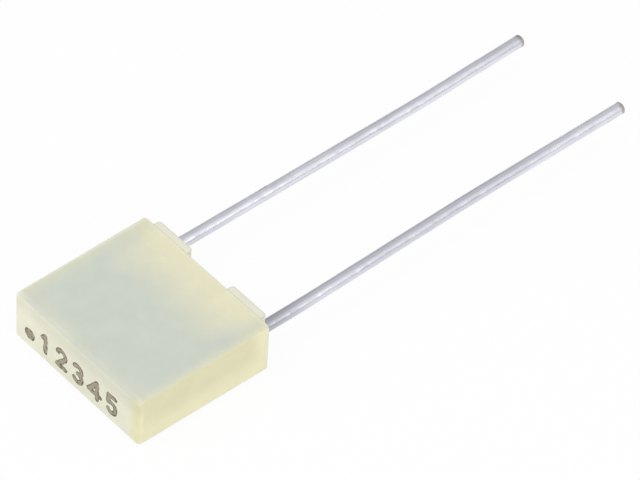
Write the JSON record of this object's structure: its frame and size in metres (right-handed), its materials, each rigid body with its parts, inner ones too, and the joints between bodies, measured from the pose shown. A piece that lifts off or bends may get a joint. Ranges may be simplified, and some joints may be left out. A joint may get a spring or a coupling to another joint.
{
  "type": "box film capacitor",
  "caption": "Small cream moulded box capacitor lying on a broad face, with stand-off feet at its open end and straight tinned wire leads.",
  "frame": {"origin": "midway between the two lead axes, on the plane of the stand-off feet's tips", "axes": "+Y out along the leads, +X across the lead pitch, +Z through the thickness, up from the broad face it lies on"},
  "size_m": [0.0072, 0.0248, 0.0024],
  "materials": {
    "case_plastic": "satin, cream polyester moulding",
    "casting_resin": "glossy cast epoxy",
    "metallised_film": "wound metallised film",
    "sprayed_zinc": "rough sprayed metal",
    "tinned_wire": "bright tin over drawn wire"
  },
  "bodies": {
    "root": {"case": "case_plastic", "resin_fill": "casting_resin", "film_element": "metallised_film", "end_contact_left": "sprayed_zinc", "end_contact_right": "sprayed_zinc", "lead_left": "tinned_wire", "lead_right": "tinned_wire"}
  },
  "joints": []
}
